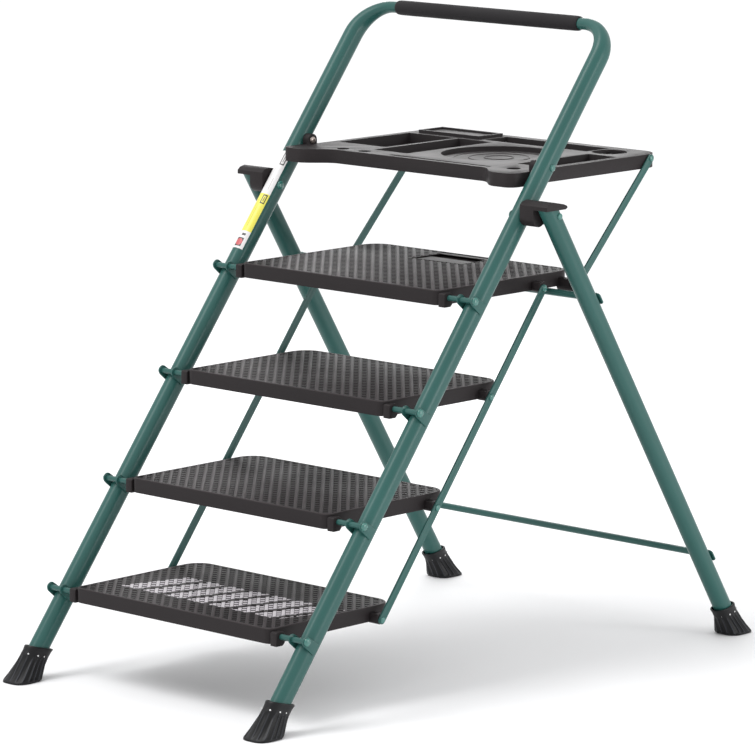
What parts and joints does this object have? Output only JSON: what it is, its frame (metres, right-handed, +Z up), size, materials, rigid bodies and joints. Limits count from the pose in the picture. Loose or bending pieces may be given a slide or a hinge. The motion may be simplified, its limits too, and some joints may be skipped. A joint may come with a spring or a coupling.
{
  "type": "folding platform step ladder",
  "caption": "Folding step ladder with flat-oval steel frames, ribbed moulded treads, a top platform, a tool tray and a padded hand rail; treads, tray and rear frame fold together.",
  "frame": {"origin": "centre of the footprint of the open ladder, on the floor", "axes": "+Z up, +X across the treads to the right as seen by a climber, -Y towards the climber; the rear frame is at +Y"},
  "size_m": [0.882, 1.386, 1.2925],
  "materials": {
    "green_paint": "satin teal green",
    "black_plastic": "fine grained, slightly brownish black",
    "rubber": "matt",
    "foam": "closed-cell foam",
    "rivet": "painted over, glossy",
    "label": "printed film, no text"
  },
  "bodies": {
    "front_frame": {"rail_left": "green_paint", "rail_right": "green_paint", "bow_corner_left": "green_paint", "bow_corner_right": "green_paint", "bow_bar": "green_paint", "grip": "foam", "foot_front_left": "rubber", "foot_front_right": "rubber", "label_strip": "label", "hinge_pin_left": "rivet", "hinge_pin_right": "rivet", "tray_pivot_left": "rivet", "tray_pivot_right": "rivet"},
    "rear_frame": {"foot_rear_left": "rubber", "foot_rear_right": "rubber", "leg_left": "green_paint", "leg_right": "green_paint", "cross_bar_upper": "green_paint", "cross_bar_lower": "green_paint", "bar_rivet_upper_left": "rivet", "bar_rivet_upper_right": "rivet", "bar_rivet_lower_left": "rivet", "bar_rivet_lower_right": "rivet", "hinge_block_left": "black_plastic", "hinge_block_right": "black_plastic", "leg_rivet_left": "rivet", "leg_rivet_right": "rivet"},
    "step_1": {"tread_1": "black_plastic", "axle_1": "green_paint", "axle_head_1_left": "rivet", "axle_head_1_right": "rivet", "link_pin_1": "rivet"},
    "step_2": {"tread_2": "black_plastic", "axle_2": "green_paint", "axle_head_2_left": "rivet", "axle_head_2_right": "rivet", "link_pin_2": "rivet"},
    "step_3": {"tread_3": "black_plastic", "axle_3": "green_paint", "axle_head_3_left": "rivet", "axle_head_3_right": "rivet", "link_pin_3": "rivet"},
    "step_4": {"platform": "black_plastic", "axle_4": "green_paint", "axle_head_4_left": "rivet", "axle_head_4_right": "rivet", "link_pin_4": "rivet", "upper_pin_left": "rivet", "upper_pin_right": "rivet", "flap_pin": "rivet"},
    "tool_tray": {"tray": "black_plastic", "tray_pin_left": "rivet", "tray_pin_right": "rivet"},
    "links_lower": {"link_lower_left": "green_paint", "link_lower_right": "green_paint"},
    "links_upper": {"link_upper_left": "green_paint", "link_upper_right": "green_paint"},
    "flap": {"release_flap": "black_plastic"}
  },
  "joints": [
    {"name": "rear_frame_fold", "type": "hinge", "parent": "front_frame", "child": "rear_frame", "pos_m": [0, 0.06061, 0.925], "axis": [-1, 0, 0], "range_deg": [0, 60]},
    {"name": "step_1_fold", "type": "hinge", "parent": "front_frame", "child": "step_1", "pos_m": [0, -0.55738, 0.173], "axis": [1, 0, 0], "range_deg": [0, 37]},
    {"name": "step_2_fold", "type": "hinge", "parent": "front_frame", "child": "step_2", "pos_m": [0, -0.40112, 0.373], "axis": [1, 0, 0], "range_deg": [0, 37]},
    {"name": "step_3_fold", "type": "hinge", "parent": "front_frame", "child": "step_3", "pos_m": [0, -0.24486, 0.573], "axis": [1, 0, 0], "range_deg": [0, 37]},
    {"name": "step_4_fold", "type": "hinge", "parent": "front_frame", "child": "step_4", "pos_m": [0, -0.08861, 0.773], "axis": [1, 0, 0], "range_deg": [0, 37]},
    {"name": "tray_fold", "type": "hinge", "parent": "front_frame", "child": "tool_tray", "pos_m": [0, 0.13951, 1.013], "axis": [1, 0, 0], "range_deg": [0, 37]},
    {"name": "lower_link_swing", "type": "hinge", "parent": "step_1", "child": "links_lower", "pos_m": [0, -0.28938, 0.163], "axis": [-1, 0, 0], "range_deg": [0, 37]},
    {"name": "upper_link_swing", "type": "hinge", "parent": "step_4", "child": "links_upper", "pos_m": [0, 0.26039, 0.757], "axis": [-1, 0, 0], "range_deg": [0, 37]},
    {"name": "flap_lift", "type": "hinge", "parent": "step_4", "child": "flap", "pos_m": [0, 0.19669, 0.779], "axis": [1, 0, 0], "range_deg": [0, 22]}
  ],
  "couplings": [
    {"joint": "step_1_fold", "follows": "rear_frame_fold", "ratio": 0.6166},
    {"joint": "step_2_fold", "follows": "rear_frame_fold", "ratio": 0.6166},
    {"joint": "step_3_fold", "follows": "rear_frame_fold", "ratio": 0.6166},
    {"joint": "step_4_fold", "follows": "rear_frame_fold", "ratio": 0.6166},
    {"joint": "tray_fold", "follows": "rear_frame_fold", "ratio": 0.6166},
    {"joint": "lower_link_swing", "follows": "rear_frame_fold", "ratio": 0.6166},
    {"joint": "upper_link_swing", "follows": "rear_frame_fold", "ratio": 0.6166}
  ]
}
